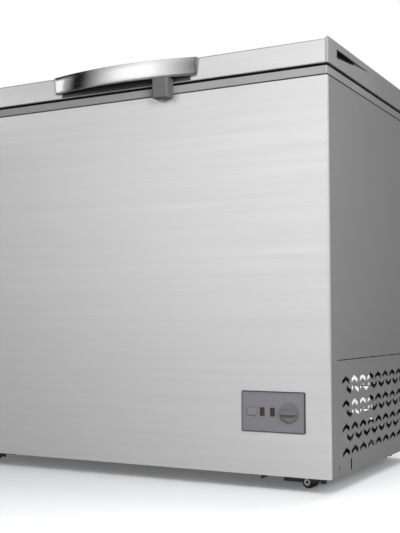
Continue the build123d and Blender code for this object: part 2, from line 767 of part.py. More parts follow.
def lid_front_rail():
    """Plastic channel behind the bright strip, open towards the lid's inside."""
    y0 = lid_front + strip_sheet
    y1 = lid_front + rail_depth
    rail = block(-cap_inner, cap_inner, y0, y1, lid_bottom, rail_top)
    rail += block(-cap_inner, cap_inner, lid_front, y0, strip_top, rail_top)
    rail += block(-cap_inner, cap_inner, lid_front, y0, lid_bottom, lid_bottom + 1.5)
    rail -= block(-500, 500, y0 + rail_sheet, y1 + 1, lid_bottom + rail_sheet, rail_top - 2.5)
    return rail - handle_screw_holes(0.05, lid_front, y1)


def lid_front_strip():
    half = lid_half - cap_wrap - 0.1
    strip = block(-half, half, lid_front, lid_front + strip_sheet, lid_bottom + 1.5, strip_top)
    return strip - handle_screw_holes(0.05, lid_front - 1, lid_front + 5)


def lid_rear_rail():
    rail = block(-cap_inner, cap_inner, rear - rail_depth, rear, lid_bottom, rail_top)
    hollow = block(
        -500, 500, rear - rail_depth - 1, rear - rail_sheet, lid_bottom + rail_sheet, rail_top - 2.5
    )
    return rail - hollow - leaf_screw_holes(0.05)


grip_front = 45.0
grip_rear = 236.0
grip_low = 811.0
grip_high = 835.0
grip_depth = 14.0


def grip_block():
    """The pocket's own wall, inside the right-hand cap."""
    return block(
        lid_half - grip_depth - 3, lid_half, front + grip_front - 3, front + grip_rear + 3,
        grip_low - 3, grip_high + 3,
    )


def grip_section(y, scale):
    """Section of the finger pocket: flat at the top, with a lower lip rounded into the face."""
    depth, height = grip_depth * scale, (grip_high - grip_low) * scale
    low = grip_high - height
    lip = Line((lid_half + 1, low), (lid_half, low))
    lip += TangentArc((lid_half, low), (lid_half - depth, low + depth), tangent=(0, 1))
    lip += Polyline(
        (lid_half - depth, low + depth), (lid_half - depth, grip_high), (lid_half + 1, grip_high), (lid_half + 1, low)
    )
    return Plane((0, y, 0), x_dir=(1, 0, 0), z_dir=(0, -1, 0)) * make_face(lip)


def grip_cut():
    """Finger pocket, square at its front end and tapering away to the rear."""
    return loft([grip_section(front + grip_front, 1.0), grip_section(front + grip_rear, 0.06)], ruled=True)


rim_width = 6.5


def right_end_cap():
    """Moulded end of the lid: a channel open inwards, with a finger pocket and a raised outer rim."""
    section = Polyline(
        (cap_inner, lid_bottom), (lid_half, lid_bottom), (lid_half, lid_top - 1), (lid_half - 1, lid_top),
        (lid_half - 2, lid_top), (lid_half - rim_width, rail_top), (cap_inner, rail_top), close=True,
    )
    face = Plane((0, rear, 0), x_dir=(1, 0, 0), z_dir=(0, -1, 0)) * make_face(section)
    cap = extrude(face, rear - lid_front) & lid_slab(0, lid_bottom, lid_top, 3.0)
    cap -= block(0, lid_half - cap_wrap, lid_front - 1, lid_front + strip_sheet, 0, 900)
    cap -= block(
        0, lid_half - rail_sheet, lid_front + strip_sheet + rail_sheet, rear - rail_sheet,
        lid_bottom + rail_sheet, rail_top - 2.5,
    )
    return cap + grip_block() - grip_cut()


def lid_foam():
    """Insulation that fills the rails, the caps and the dish of the inner panel."""
    y0, y1 = lid_front + strip_sheet + rail_sheet, rear - rail_sheet
    foam = block(-lid_half + rail_sheet, lid_half - rail_sheet, y0, y1, lid_bottom + rail_sheet, rail_top - 2.5)
    foam += block(
        -cap_inner, cap_inner, lid_front + rail_depth, rear - rail_depth, lid_bottom + lid_liner_sheet, rail_top
    )
    foam += lid_slab(dish_inset + lid_liner_sheet, dish_bottom + lid_liner_sheet, lid_bottom + lid_liner_sheet, 10.0)
    foam -= grip_block()
    foam -= mirrored(grip_block())
    foam -= leaf_screw_holes(0.05)
    for x, z in handle_screw_places:
        foam -= rod_y(x, y0 - 1, y0 + 3, z, 4.2)
    return foam


def lid_liner():
    """Inner panel of the lid: a flange and a shallow dish that reaches into the tank's mouth."""
    top = lid_bottom + lid_liner_sheet
    panel = block(-cap_inner, cap_inner, lid_front + rail_depth, rear - rail_depth, lid_bottom, top)
    panel += lid_slab(dish_inset, dish_bottom, top, 11.7)
    return panel - lid_slab(dish_inset + lid_liner_sheet, dish_bottom + lid_liner_sheet, top + 1, 10.0)


def lid_top_skin():
    skin = block(-cap_inner + 0.2, cap_inner - 0.2, lid_front + 2, rear - 2, rail_top, rail_top + top_sheet)
    return fillet(skin.edges().filter_by(Axis.Z), 2.0)


def lid_gasket():
    """Soft seal under the lid's rim, closing on the breaker frame."""
    low = breaker_top + 0.2
    seal = lid_slab(6.0, low, lid_bottom, 8.0) - lid_slab(19.0, low, lid_bottom, 5.0)
    seal += lid_slab(4.5, lid_bottom - 2.0, lid_bottom, 9.0) - lid_slab(10.0, lid_bottom - 2.0, lid_bottom, 5.0)
    return seal


# ---- handle and lock ------------------------------------------------------------------------
def handle():
    """Bowed band that leans outwards: a middle part and two end parts with a foot each."""
    half, inner_half = handle_length / 2, handle_length / 2 - handle_foot
    sagitta = handle_bulge - handle_end_bulge
    bow_radius = (half**2 + sagitta**2) / (2 * sagitta)
    handle_top = handle_bottom + handle_height
    reach = handle_bulge + 5
    ends = Polyline(
        (-half, handle_bottom), (-half - handle_flare, handle_top),
        (half + handle_flare, handle_top), (half, handle_bottom), close=True,
    )
    blank = extrude(Plane((0, lid_front, 0), x_dir=(1, 0, 0), z_dir=(0, -1, 0)) * make_face(ends), reach)
    feet = Polyline(
        (-inner_half, lid_front + 1), (8 - inner_half, lid_front - reach),
        (inner_half - 8, lid_front - reach), (inner_half, lid_front + 1), close=True,
    )
    hollow = extrude(Pos(0, 0, handle_bottom) * make_face(feet), handle_height)
    middle = Pos(0, lid_front - handle_bulge + bow_radius, handle_bottom + handle_height / 2)
    outside = Cone(bow_radius - handle_lean, bow_radius, handle_height)
    inside = Cone(bow_radius - handle_lean - handle_band, bow_radius - handle_band, handle_height)
    band = (blank & (middle * outside)) - (hollow & (middle * inside))
    bow_face = band.faces().filter_by(GeomType.CONE).sort_by(Axis.Y)[0]
    band = fillet(bow_face.edges(), 1.6)
    band -= handle_screw_holes(0.05, lid_front - 5, lid_front + 5)
    x0, x1 = handle_middle / 2 - handle_part_gap / 2, handle_middle / 2 + handle_part_gap / 2
    around = (lid_front - reach, lid_front + 1, handle_bottom - 1, handle_top + 1)
    middle_part = band & block(-x0, x0, *around)
    end_part = band & block(x1, half + handle_flare + 1, *around)
    return Compound([middle_part.solid(), end_part.solid(), mirrored(end_part).solid()])


def handle_screws():
    """Screws from inside the front rail into the handle's feet."""
    inside = lid_front + strip_sheet + rail_sheet
    solids = []
    for x, z in handle_screw_places:
        solids.append((rod_y(x, lid_front - 5, inside + 1, z, 2.0) + rod_y(x, inside, inside + 2.5, z, 4.0)).solid())
    return Compound(solids)


key_x = lock_x - 4.75
key_y = front - 9.0
key_radius = 5.0
cam_bottom = 784.0
cam_top = 786.5


def lock_housing():
    """Block under the handle: open behind for the cam, bored below for the key cylinder."""
    half = lock_width / 2
    top = handle_bottom
    y0 = front - lock_front
    housing = block(lock_x - half, lock_x + half, y0, front - 1.0, lock_bottom, top)
    housing = fillet(housing.faces().sort_by(Axis.Y)[0].edges().filter_by(Axis.Z), 5.0)
    housing = fillet(housing.faces().sort_by(Axis.Y)[0].edges().group_by(Axis.Z)[0], 2.0)
    housing -= block(lock_x - 30, lock_x + 30, lid_front, front, lid_bottom, top + 1)
    housing -= block(lock_x - half + 2.5, lock_x + half - 2.5, y0 + 2.5, front, 778.0, 797.0)
    return housing - rod_z(key_x, key_y, lock_bottom - 1, 780, key_radius + fit_gap)


def lock_cylinder():
    """Key cylinder, its key slot facing down."""
    body = rod_z(key_x, key_y, lock_bottom - 3.5, cam_bottom, key_radius)
    body += rod_z(key_x, key_y, lock_bottom - 3.5, lock_bottom - 0.3, 6.4)
    return body - block(key_x - 3.5, key_x + 3.5, key_y - 0.6, key_y + 0.6, lock_bottom - 5, lock_bottom + 8)


def lock_cam():
    """Arm on the cylinder that turns from sideways, unlocked, to backwards, locked."""
    reach = 17.0
    hub = rod_z(key_x, key_y, cam_bottom, cam_top, 5.0)
    arm = block(key_x, key_x + reach, key_y - 4, key_y + 4, cam_bottom, cam_top)
    return hub + fillet(arm.edges().filter_by(Axis.Z).group_by(Axis.X)[-1], 2.5)


# ---- basket ---------------------------------------------------------------------------------
def basket():
    """Welded wire basket that hangs on the frame's front and rear ledges."""
    x0, x1 = 140.0, 370.0
    y0, y1 = front + 75.0, rear - 75.0
    low = 605.0
    fine = 1.5
    thick = 2.5
    lap = 2.4                  # centre distance of two welded wires
    ledge = ledge_bottom + breaker_sheet
    bar_y = 60.0
    bar_z = ledge + thick + 0.3
    top_z = ledge + fine + 0.8
    solids = []
    for k in range(6):
        x = x0 + 12 + k * (x1 - x0 - 24) / 5
        points = [(x, front + bar_y, top_z), (x, y0, top_z), (x, y0, low), (x, y1, low), (x, y1, top_z)]
        points.append((x, rear - bar_y, top_z))
        solids.append(tube(points, [5.0, 12.0, 12.0, 5.0], fine))
    for k in range(8):
        y = y0 + 14 + k * (y1 - y0 - 28) / 7
        points = [(x0, y, 772), (x0, y, low + lap), (x1, y, low + lap), (x1, y, 772)]
        solids.append(tube(points, [12.0, 12.0], fine))
    for z, radius in ((771.0, thick), (717.0, fine), (661.0, fine)):
        gap = lap if radius == fine else lap + 1.0
        corners = Pos((x0 + x1) / 2, (y0 + y1) / 2, z) * RectangleRounded(x1 - x0 - 2 * gap, y1 - y0 - 2 * gap, 10)
        loop = corners.wires()[0]
        solids.append(sweep(Plane(origin=loop @ 0, z_dir=loop % 0) * Circle(radius), path=loop))
    for y in (front + bar_y, rear - bar_y):
        solids.append(rod_x(x0, x1, y, bar_z, thick))
    return solids[0].fuse(*solids[1:])


# ---- write the parts ----------------------------------------------------------------------
def both(make):
    return Compound([make(-hinge_x), make(hinge_x)])


def at_each_roller(make):
    return Compound([make(x, y) for x, y in roller_places.values()])


evaporator = evaporator_coil()
condenser = condenser_coil()
pieces = {
    "front_skin": front_skin(),
    "left_side_skin": left_side_skin(),
    "right_side_skin": right_side_skin(),
    "rear_skin": rear_skin(),
    "base_pan": base_pan(),
    "inner_liner": inner_liner(),
    "evaporator_coil": evaporator,
    "condenser_coil": condenser,
    "cabinet_foam": cabinet_foam(evaporator, condenser),
    "breaker_frame": breaker_frame(),
    "lock_keeper": lock_keeper(),
    "side_vent_grille": side_vent_grille(),
    "rear_compressor_cover": rear_compressor_cover(),
    "cover_screws": cover_screws(),
    "mains_cord_gland": mains_cord_gland(),
    "compressor_base_plate": compressor_base_plate(),
    "compressor_shell": compressor_shell(),
    "compressor_grommets": compressor_grommets(),
    "compressor_bolts": compressor_bolts(),
    "start_relay_cover": start_relay_cover(),
    "suction_pipe": suction_pipe(),
    "discharge_pipe": discharge_pipe(),
    "filter_drier": filter_drier(),
    "capillary_tube": capillary_tube(),
    "control_bezel": control_bezel(),
    "red_lamp_lens": lamp_lens(red_x),
    "green_lamp_lens": lamp_lens(green_x),
    "thermostat_body": thermostat_body(),
    "thermostat_knob": thermostat_knob(),
    "fast_freeze_button": fast_freeze_button(),
    "fast_freeze_switch": fast_freeze_switch(),
    "drain_tube": drain_tube(),
    "drain_plug": drain_plug(),
    "hinge_bases": both(hinge_base),
    "hinge_pins": both(hinge_pin),
    "hinge_springs": both(hinge_spring),
    "hinge_base_screws": hinge_base_screws(),
    "hinge_leaves": both(hinge_leaf),
    "leaf_screws": leaf_screws(),
    "caster_brackets": at_each_roller(left_or_right_bracket),
    "caster_axles": at_each_roller(caster_axle),
    "lid_top_skin": lid_top_skin(),
    "lid_front_rail": lid_front_rail(),
    "lid_front_strip": lid_front_strip(),
    "lid_rear_rail": lid_rear_rail(),
    "left_end_cap": mirrored(right_end_cap()),
    "right_end_cap": right_end_cap(),
    "lid_foam": lid_foam(),
    "lid_liner": lid_liner(),
    "lid_gasket": lid_gasket(),
    "handle": handle(),
    "handle_screws": handle_screws(),
    "lock_housing": lock_housing(),
    "lock_cylinder": lock_cylinder(),
    "lock_cam": lock_cam(),
    "basket": basket(),
}
for corner, (x, y) in roller_places.items():
    pieces[f"{corner}_roller"] = roller(x, y)

os.makedirs("parts", exist_ok=True)
for name, piece in pieces.items():
    export_step(piece, f"parts/{name}.step")
    print(name, round(piece.volume))
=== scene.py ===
import json
import math

import bmesh
import bpy
from mathutils import Euler, Matrix, Quaternion, Vector


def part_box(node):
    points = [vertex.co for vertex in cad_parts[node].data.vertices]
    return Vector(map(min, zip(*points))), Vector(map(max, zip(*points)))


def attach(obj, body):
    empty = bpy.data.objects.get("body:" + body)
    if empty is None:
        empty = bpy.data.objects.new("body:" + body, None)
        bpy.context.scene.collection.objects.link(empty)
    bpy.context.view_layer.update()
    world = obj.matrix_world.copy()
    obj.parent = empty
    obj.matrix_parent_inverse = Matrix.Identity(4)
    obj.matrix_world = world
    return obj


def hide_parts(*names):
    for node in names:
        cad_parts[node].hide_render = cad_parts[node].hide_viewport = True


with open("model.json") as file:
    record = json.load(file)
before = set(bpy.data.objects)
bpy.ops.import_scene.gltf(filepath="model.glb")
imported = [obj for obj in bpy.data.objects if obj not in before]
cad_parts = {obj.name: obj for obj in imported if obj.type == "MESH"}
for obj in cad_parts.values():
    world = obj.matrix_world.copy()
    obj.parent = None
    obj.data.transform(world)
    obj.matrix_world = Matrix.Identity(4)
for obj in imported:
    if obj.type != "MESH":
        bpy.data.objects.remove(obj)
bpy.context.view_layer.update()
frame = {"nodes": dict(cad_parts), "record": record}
nodes = frame["nodes"]
up = Vector((0, 0, 1))
print("frame loaded:", len(nodes), "nodes")


def put(tree, kind, inputs=None, **settings):
    node = tree.nodes.new(kind)
    for key, value in settings.items():
        setattr(node, key, value)
    for key, value in (inputs or {}).items():
        socket = node.inputs[key]
        if isinstance(value, bpy.types.NodeSocket):
            tree.links.new(value, socket)
        else:
            socket.default_value = value
    return node


def mixColor(tree, factor, first, second):
    node = put(tree, "ShaderNodeMix", data_type="RGBA")
    for index, value in ((0, factor), (6, first), (7, second)):
        if isinstance(value, bpy.types.NodeSocket):
            tree.links.new(value, node.inputs[index])
        else:
            node.inputs[index].default_value = value
    return node.outputs[2]


def span(tree, value, fromLow, fromHigh, toLow, toHigh):
    inputs = {"Value": value, "From Min": fromLow, "From Max": fromHigh, "To Min": toLow, "To Max": toHigh}
    return put(tree, "ShaderNodeMapRange", inputs, clamp=True).outputs["Result"]


def maths(tree, operation, first, second):
    return put(tree, "ShaderNodeMath", {0: first, 1: second}, operation=operation).outputs[0]


def vectorMaths(tree, operation, first, second):
    return put(tree, "ShaderNodeVectorMath", {0: first, 1: second}, operation=operation).outputs[0]


def noiseAt(tree, vector, scale, detail, rough=0.5):
    inputs = {"Vector": vector, "Scale": scale, "Detail": detail, "Roughness": rough}
    return put(tree, "ShaderNodeTexNoise", inputs).outputs["Fac"]


def newGroup(name, inputs, outputs):
    tree = bpy.data.node_groups.new(name, "ShaderNodeTree")
    for label, kind, default in inputs:
        socket = tree.interface.new_socket(name=label, in_out="INPUT", socket_type=kind)
        if default is not None:
            socket.default_value = default
    for label, kind in outputs:
        tree.interface.new_socket(name=label, in_out="OUTPUT", socket_type=kind)
    return tree, tree.nodes.new("NodeGroupInput").outputs, tree.nodes.new("NodeGroupOutput").inputs


def useGroup(tree, group, inputs):
    node = put(tree, "ShaderNodeGroup")
    node.node_tree = group
    for key, value in inputs.items():
        if isinstance(value, bpy.types.NodeSocket):
            tree.links.new(value, node.inputs[key])
        else:
            node.inputs[key].default_value = value
    return node.outputs


def makeBrushGrain():
    # long fine scratches lying along X
    tree, given, result = newGroup(
        "brushGrain",
        [
            ("Vector", "NodeSocketVector", None),
            ("Length", "NodeSocketFloat", 4.0),
            ("Fineness", "NodeSocketFloat", 900.0),
        ],
        [("Streaks", "NodeSocketFloat"), ("Bands", "NodeSocketFloat")],
    )
    axes = {"X": given["Length"], "Y": given["Fineness"], "Z": given["Fineness"]}
    stretch = put(tree, "ShaderNodeCombineXYZ", axes).outputs[0]
    fine = vectorMaths(tree, "MULTIPLY", given["Vector"], stretch)
    noise = noiseAt(tree, fine, 1.0, 3.0, 0.6)
    coarse = vectorMaths(tree, "MULTIPLY", fine, (0.35, 0.06, 0.06))
    bands = noiseAt(tree, coarse, 1.0, 2.0)
    tree.links.new(noise, result["Streaks"])
    tree.links.new(bands, result["Bands"])
    return tree


def makeSpeckle():
    # moulded or sprayed surface: fine height with a slow unevenness
    tree, given, result = newGroup(
        "speckle",
        [
            ("Vector", "NodeSocketVector", None),
            ("Scale", "NodeSocketFloat", 900.0),
            ("Slow Scale", "NodeSocketFloat", 9.0),
        ],
        [("Height", "NodeSocketFloat"), ("Patches", "NodeSocketFloat")],
    )
    tree.links.new(noiseAt(tree, given["Vector"], given["Scale"], 2.0), result["Height"])
    tree.links.new(noiseAt(tree, given["Vector"], given["Slow Scale"], 4.0), result["Patches"])
    return tree


dustLook = {
    "facingFrom": 0.4, "scale": 14.0, "detail": 6.0, "rough": 0.7, "patchFrom": 0.35, "patchTo": 0.75,
    "color": (0.42, 0.41, 0.39, 1),
}


def makeSettledDust(look):
    # thin dust on faces that look up
    tree, given, result = newGroup(
        "settledDust",
        [("Vector", "NodeSocketVector", None), ("Amount", "NodeSocketFloat", 0.2)],
        [("Mask", "NodeSocketFloat")],
    )
    normal = put(tree, "ShaderNodeSeparateXYZ", {0: put(tree, "ShaderNodeNewGeometry").outputs["Normal"]})
    facing = span(tree, normal.outputs["Z"], look["facingFrom"], 1.0, 0.0, 1.0)
    cloud = noiseAt(tree, given["Vector"], look["scale"], look["detail"], look["rough"])
    patchy = span(tree, cloud, look["patchFrom"], look["patchTo"], 0.0, 1.0)
    amount = maths(tree, "MULTIPLY", maths(tree, "MULTIPLY", facing, patchy), given["Amount"])
    tree.links.new(amount, result["Mask"])
    return tree


brushGrain = makeBrushGrain()
speckle = makeSpeckle()
settledDust = makeSettledDust(dustLook)


def newFinish(name, metallic, sockets=None):
    material = bpy.data.materials.new(name)
    material.use_nodes = True
    tree = material.node_tree
    shader = tree.nodes["Principled BSDF"]
    shader.inputs["Metallic"].default_value = metallic
    for key, value in (sockets or {}).items():
        shader.inputs[key].default_value = value
    coords = put(tree, "ShaderNodeTexCoord").outputs["Object"]
    return material, tree, shader, coords


def bump(tree, shader, height, strength, distance):
    node = put(tree, "ShaderNodeBump", {"Height": height, "Strength": strength, "Distance": distance})
    tree.links.new(node.outputs["Normal"], shader.inputs["Normal"])


def grey(value):
    return (value, value, value, 1)


def boxMask(tree, coords, low, high, soft):
    # one inside a box in object coordinates, fading out over a soft edge
    middle = tuple((a + b) / 2 for a, b in zip(low, high))
    half = tuple((b - a) / 2 for a, b in zip(low, high))
    offset = vectorMaths(tree, "SUBTRACT", coords, middle)
    size = put(tree, "ShaderNodeVectorMath", {0: offset}, operation="ABSOLUTE").outputs[0]
    axes = put(tree, "ShaderNodeSeparateXYZ", {0: vectorMaths(tree, "SUBTRACT", size, half)}).outputs
    furthest = maths(tree, "MAXIMUM", maths(tree, "MAXIMUM", axes["X"], axes["Y"]), axes["Z"])
    return span(tree, furthest, 0.0, soft, 1.0, 0.0)


brushedLook = {
    "pale": (0.79, 0.79, 0.795, 1), "deep": (0.71, 0.71, 0.716, 1), "roughLow": 0.34, "roughHigh": 0.43,
    "metal": 0.72, "length": 5.0, "fineness": 1500.0, "streakShare": 0.6, "bandShare": 0.4, "bump": 0.05,
    "depth": 0.0004, "anisotropy": 0.45,
}


def makeBrushedSteel(name, look, shaded=None):
    # laminated steel sheet with long brush marks, and painted shade in a darker patch where a box is given
    material, tree, shader, coords = newFinish(name, look["metal"], {"Anisotropic": look["anisotropy"]})
    scratches = {"Vector": coords, "Length": look["length"], "Fineness": look["fineness"]}
    grain = useGroup(tree, brushGrain, scratches)
    shade = span(tree, grain["Streaks"], 0.3, 0.7, 0.0, 1.0)
    band = span(tree, grain["Bands"], 0.25, 0.75, 0.0, 1.0)
    fine = maths(tree, "MULTIPLY", shade, look["streakShare"])
    broad = maths(tree, "MULTIPLY", band, look["bandShare"])
    tone = maths(tree, "ADD", fine, broad)
    color = mixColor(tree, tone, look["deep"], look["pale"])
    # painted shadow: the given box is darkened to stand in for shade cast on the sheet
    if shaded:
        mask = boxMask(tree, coords, shaded["low"], shaded["high"], shaded["soft"])
        color = mixColor(tree, mask, color, grey(shaded["tone"]))
    tree.links.new(color, shader.inputs["Base Color"])
    rough = span(tree, tone, 0.0, 1.0, look["roughHigh"], look["roughLow"])
    tree.links.new(rough, shader.inputs["Roughness"])
    bump(tree, shader, grain["Streaks"], look["bump"], look["depth"])
    return material


sprayLook = {
    "scale": 420.0, "slow": 5.0, "smoother": 0.04, "rougher": 0.05, "coatRough": 0.25, "depth": 0.0003,
}


def makeSprayed(name, low, high, rough, peel, coat=0.0, dust=0.0):
    # painted sheet with a slight orange peel
    look = sprayLook
    sockets = {"Coat Weight": coat, "Coat Roughness": look["coatRough"]}
    material, tree, shader, coords = newFinish(name, 0.0, sockets)
    spray = useGroup(tree, speckle, {"Vector": coords, "Scale": look["scale"], "Slow Scale": look["slow"]})
    color = mixColor(tree, span(tree, spray["Patches"], 0.3, 0.7, 0.0, 1.0), low, high)
    if dust:
        film = useGroup(tree, settledDust, {"Vector": coords, "Amount": dust})
        color = mixColor(tree, film["Mask"], color, dustLook["color"])
    tree.links.new(color, shader.inputs["Base Color"])
    least, most = rough - look["smoother"], rough + look["rougher"]
    tree.links.new(span(tree, spray["Patches"], 0.2, 0.8, least, most), shader.inputs["Roughness"])
    bump(tree, shader, spray["Height"], peel, look["depth"])
    return material


mouldLook = {"slow": 12.0, "spread": 0.05, "coatRough": 0.2, "depth": 0.0002}


def makeMoulded(name, low, high, rough, grainScale, grainDepth, coat=0.0):
    # plastic with a spark-eroded mould texture
    look = mouldLook
    sockets = {"Coat Weight": coat, "Coat Roughness": look["coatRough"]}
    material, tree, shader, coords = newFinish(name, 0.0, sockets)
    grain = useGroup(tree, speckle, {"Vector": coords, "Scale": grainScale, "Slow Scale": look["slow"]})
    color = mixColor(tree, span(tree, grain["Patches"], 0.3, 0.7, 0.0, 1.0), low, high)
    tree.links.new(color, shader.inputs["Base Color"])
    least, most = rough - look["spread"], rough + look["spread"]
    tree.links.new(span(tree, grain["Height"], 0.3, 0.7, least, most), shader.inputs["Roughness"])
    bump(tree, shader, grain["Height"], grainDepth, look["depth"])
    return material


spangleLook = {"scale": 95.0, "smoother": 0.08, "rougher": 0.1, "bump": 0.05, "depth": 0.0002}


def makeSpangled(name, low, high, rough):
    # zinc-coated steel with crystal spangles
    look = spangleLook
    material, tree, shader, coords = newFinish(name, 1.0)
    crystals = put(tree, "ShaderNodeTexVoronoi", {"Vector": coords, "Scale": look["scale"]})
    parts = put(tree, "ShaderNodeSeparateColor", {0: crystals.outputs["Color"]}).outputs
    tree.links.new(mixColor(tree, parts[0], low, high), shader.inputs["Base Color"])
    least, most = rough - look["smoother"], rough + look["rougher"]
    tree.links.new(span(tree, parts[1], 0.0, 1.0, least, most), shader.inputs["Roughness"])
    bump(tree, shader, parts[2], look["bump"], look["depth"])
    return material


stuccoLook = {
    "pale": 0.8, "deep": 0.72, "cells": 120.0, "ripple": 60.0, "rippleShare": 0.6, "roughLow": 0.3,
    "roughHigh": 0.4, "bump": 0.5, "depth": 0.0012,
}


def makeStucco(name, look):
    # rolled aluminium sheet with an orange-skin emboss
    material, tree, shader, coords = newFinish(name, 1.0)
    inputs = {"Vector": coords, "Scale": look["cells"]}
    cells = put(tree, "ShaderNodeTexVoronoi", inputs, feature="SMOOTH_F1").outputs["Distance"]
    ripple = noiseAt(tree, coords, look["ripple"], 3.0)
    height = maths(tree, "ADD", cells, maths(tree, "MULTIPLY", ripple, look["rippleShare"]))
    color = mixColor(tree, ripple, grey(look["deep"]), grey(look["pale"]))
    tree.links.new(color, shader.inputs["Base Color"])
    rough = span(tree, ripple, 0.3, 0.7, look["roughLow"], look["roughHigh"])
    tree.links.new(rough, shader.inputs["Roughness"])
    bump(tree, shader, height, look["bump"], look["depth"])
    return material


# both copper tones are darkened as painted shade; the patches between them are real browning
copperLook = {
    "lighterShaded": (0.30, 0.15, 0.09, 1), "stained": (0.10, 0.06, 0.045, 1), "scale": 38.0, "detail": 5.0,
    "patchy": 0.65, "from": 0.42, "to": 0.68, "roughLow": 0.25, "roughHigh": 0.55, "bump": 0.1,
    "depth": 0.0003,
}


def makeCopper(name, look):
    # tube that has browned in patches; both tones also sit far darker than copper as painted shade for the
    # dark compartment it runs in
    material, tree, shader, coords = newFinish(name, 1.0)
    stain = noiseAt(tree, coords, look["scale"], look["detail"], look["patchy"])
    mask = span(tree, stain, look["from"], look["to"], 0.0, 1.0)
    color = mixColor(tree, mask, look["lighterShaded"], look["stained"])
    tree.links.new(color, shader.inputs["Base Color"])
    rough = span(tree, mask, 0.0, 1.0, look["roughLow"], look["roughHigh"])
    tree.links.new(rough, shader.inputs["Roughness"])
    bump(tree, shader, stain, look["bump"], look["depth"])
    return material


foamLook = {
    "pale": (0.78, 0.66, 0.38, 1), "deep": (0.62, 0.5, 0.25, 1), "cells": 700.0, "blotches": 9.0,
    "detail": 5.0, "roughLow": 0.85, "roughHigh": 0.95, "bump": 0.4, "depth": 0.001, "glow": 0.1,
}


def makeFoam(name, look):
    material, tree, shader, coords = newFinish(name, 0.0, {"Subsurface Weight": look["glow"]})
    cells = put(tree, "ShaderNodeTexVoronoi", {"Vector": coords, "Scale": look["cells"]})
    blotch = noiseAt(tree, coords, look["blotches"], look["detail"])
    color = mixColor(tree, blotch, look["pale"], look["deep"])
    tree.links.new(color, shader.inputs["Base Color"])
    rough = span(tree, blotch, 0.2, 0.8, look["roughLow"], look["roughHigh"])
    tree.links.new(rough, shader.inputs["Roughness"])
    bump(tree, shader, cells.outputs["Distance"], look["bump"], look["depth"])
    return material


chromeLook = {
    "dull": 0.84, "bright": 0.9, "haze": 160.0, "roughLow": 0.08, "roughHigh": 0.13, "waves": 7.0,
    "bump": 0.06, "depth": 0.004,
}


def makeChrome(name, look):
    # mirror plating over moulded plastic: long soft waves and a little haze
    material, tree, shader, coords = newFinish(name, 1.0)
    haze = noiseAt(tree, coords, look["haze"], 4.0)
    color = mixColor(tree, haze, grey(look["dull"]), grey(look["bright"]))
    tree.links.new(color, shader.inputs["Base Color"])
    rough = span(tree, haze, 0.3, 0.7, look["roughLow"], look["roughHigh"])
    tree.links.new(rough, shader.inputs["Roughness"])
    bump(tree, shader, noiseAt(tree, coords, look["waves"], 1.0), look["bump"], look["depth"])
    return material


rubberLook = {
    "tone": 0.004, "bloom": 0.0076, "shine": 0.12, "scale": 45.0, "detail": 6.0, "roughLow": 0.6,
    "roughHigh": 0.8, "bump": 0.15, "depth": 0.0004,
}


def makeRubber(name, look):
    # black rubber with a faint bloom
    material, tree, shader, coords = newFinish(name, 0.0, {"Specular IOR Level": look["shine"]})
    bloom = noiseAt(tree, coords, look["scale"], look["detail"])
    color = mixColor(tree, bloom, grey(look["tone"]), grey(look["bloom"]))
    tree.links.new(color, shader.inputs["Base Color"])
    rough = span(tree, bloom, 0.3, 0.7, look["roughLow"], look["roughHigh"])
    tree.links.new(rough, shader.inputs["Roughness"])
    bump(tree, shader, bloom, look["bump"], look["depth"])
    return material


lensLook = {
    "coat": 0.6, "coatRough": 0.08, "density": 1.49, "ribs": 160.0, "roughLow": 0.18, "roughHigh": 0.3,
    "bump": 0.1, "depth": 0.0002,
}


def makeLens(name, deep, pale):
    # tinted ribbed lens over an unlit lamp
    look = lensLook
    clear = {"Coat Weight": look["coat"], "Coat Roughness": look["coatRough"], "IOR": look["density"]}
    material, tree, shader, coords = newFinish(name, 0.0, clear)
    inputs = {"Vector": coords, "Scale": look["ribs"]}
    ribs = put(tree, "ShaderNodeTexWave", inputs, bands_direction="Z").outputs["Fac"]
    tree.links.new(mixColor(tree, ribs, deep, pale), shader.inputs["Base Color"])
    rough = span(tree, ribs, 0.0, 1.0, look["roughLow"], look["roughHigh"])
    tree.links.new(rough, shader.inputs["Roughness"])
    bump(tree, shader, ribs, look["bump"], look["depth"])
    return material


finishes = {
    "brushed_steel_skin": makeBrushedSteel("brushedFront", brushedLook),
    "grey_paint": makeSprayed("greySidePaint", grey(0.165), grey(0.178), 0.42, 0.12, coat=0.25),
    "silver_paint": makeSprayed("silverLidPaint", grey(0.56), grey(0.61), 0.38, 0.14, coat=0.2, dust=0.12),
    "zinc_steel": makeSpangled("zincSheet", grey(0.42), grey(0.58), 0.42),
    "black_paint": makeSprayed("blackStoved", grey(0.012), grey(0.02), 0.36, 0.25, coat=0.3, dust=0.25),
    "grey_plastic": makeMoulded("greyMoulding", grey(0.20), grey(0.225), 0.46, 1500.0, 0.12),
    "dark_plastic": makeMoulded("darkMoulding", grey(0.018), grey(0.028), 0.5, 1200.0, 0.2),
    "pale_plastic": makeMoulded("paleMoulding", grey(0.15), grey(0.17), 0.4, 1600.0, 0.08),
    "white_plastic": makeMoulded("whiteInnerPanel", grey(0.7), grey(0.76), 0.3, 700.0, 0.08, coat=0.2),
    "foam": makeFoam("rigidFoam", foamLook),
    "tank_aluminium": makeStucco("embossedTank", stuccoLook),
    "rubber": makeRubber("sealRubber", rubberLook),
    "chrome": makeChrome("platedHandle", chromeLook),
    "copper": makeCopper("agedCopperPaintedShade", copperLook),
    "screw_steel": makeSpangled("brightZinc", grey(0.55), grey(0.68), 0.3),
    "red_lens": makeLens("redLens", (0.018, 0.0115, 0.012, 1), (0.03, 0.018, 0.019, 1)),
    "green_lens": makeLens("greenLens", (0.015, 0.0125, 0.0135, 1), (0.023, 0.021, 0.022, 1)),
    "white_coated_wire": makeMoulded("coatedWire", grey(0.72), grey(0.78), 0.28, 300.0, 0.1, coat=0.4),
}
print("finishes made:", len(finishes))

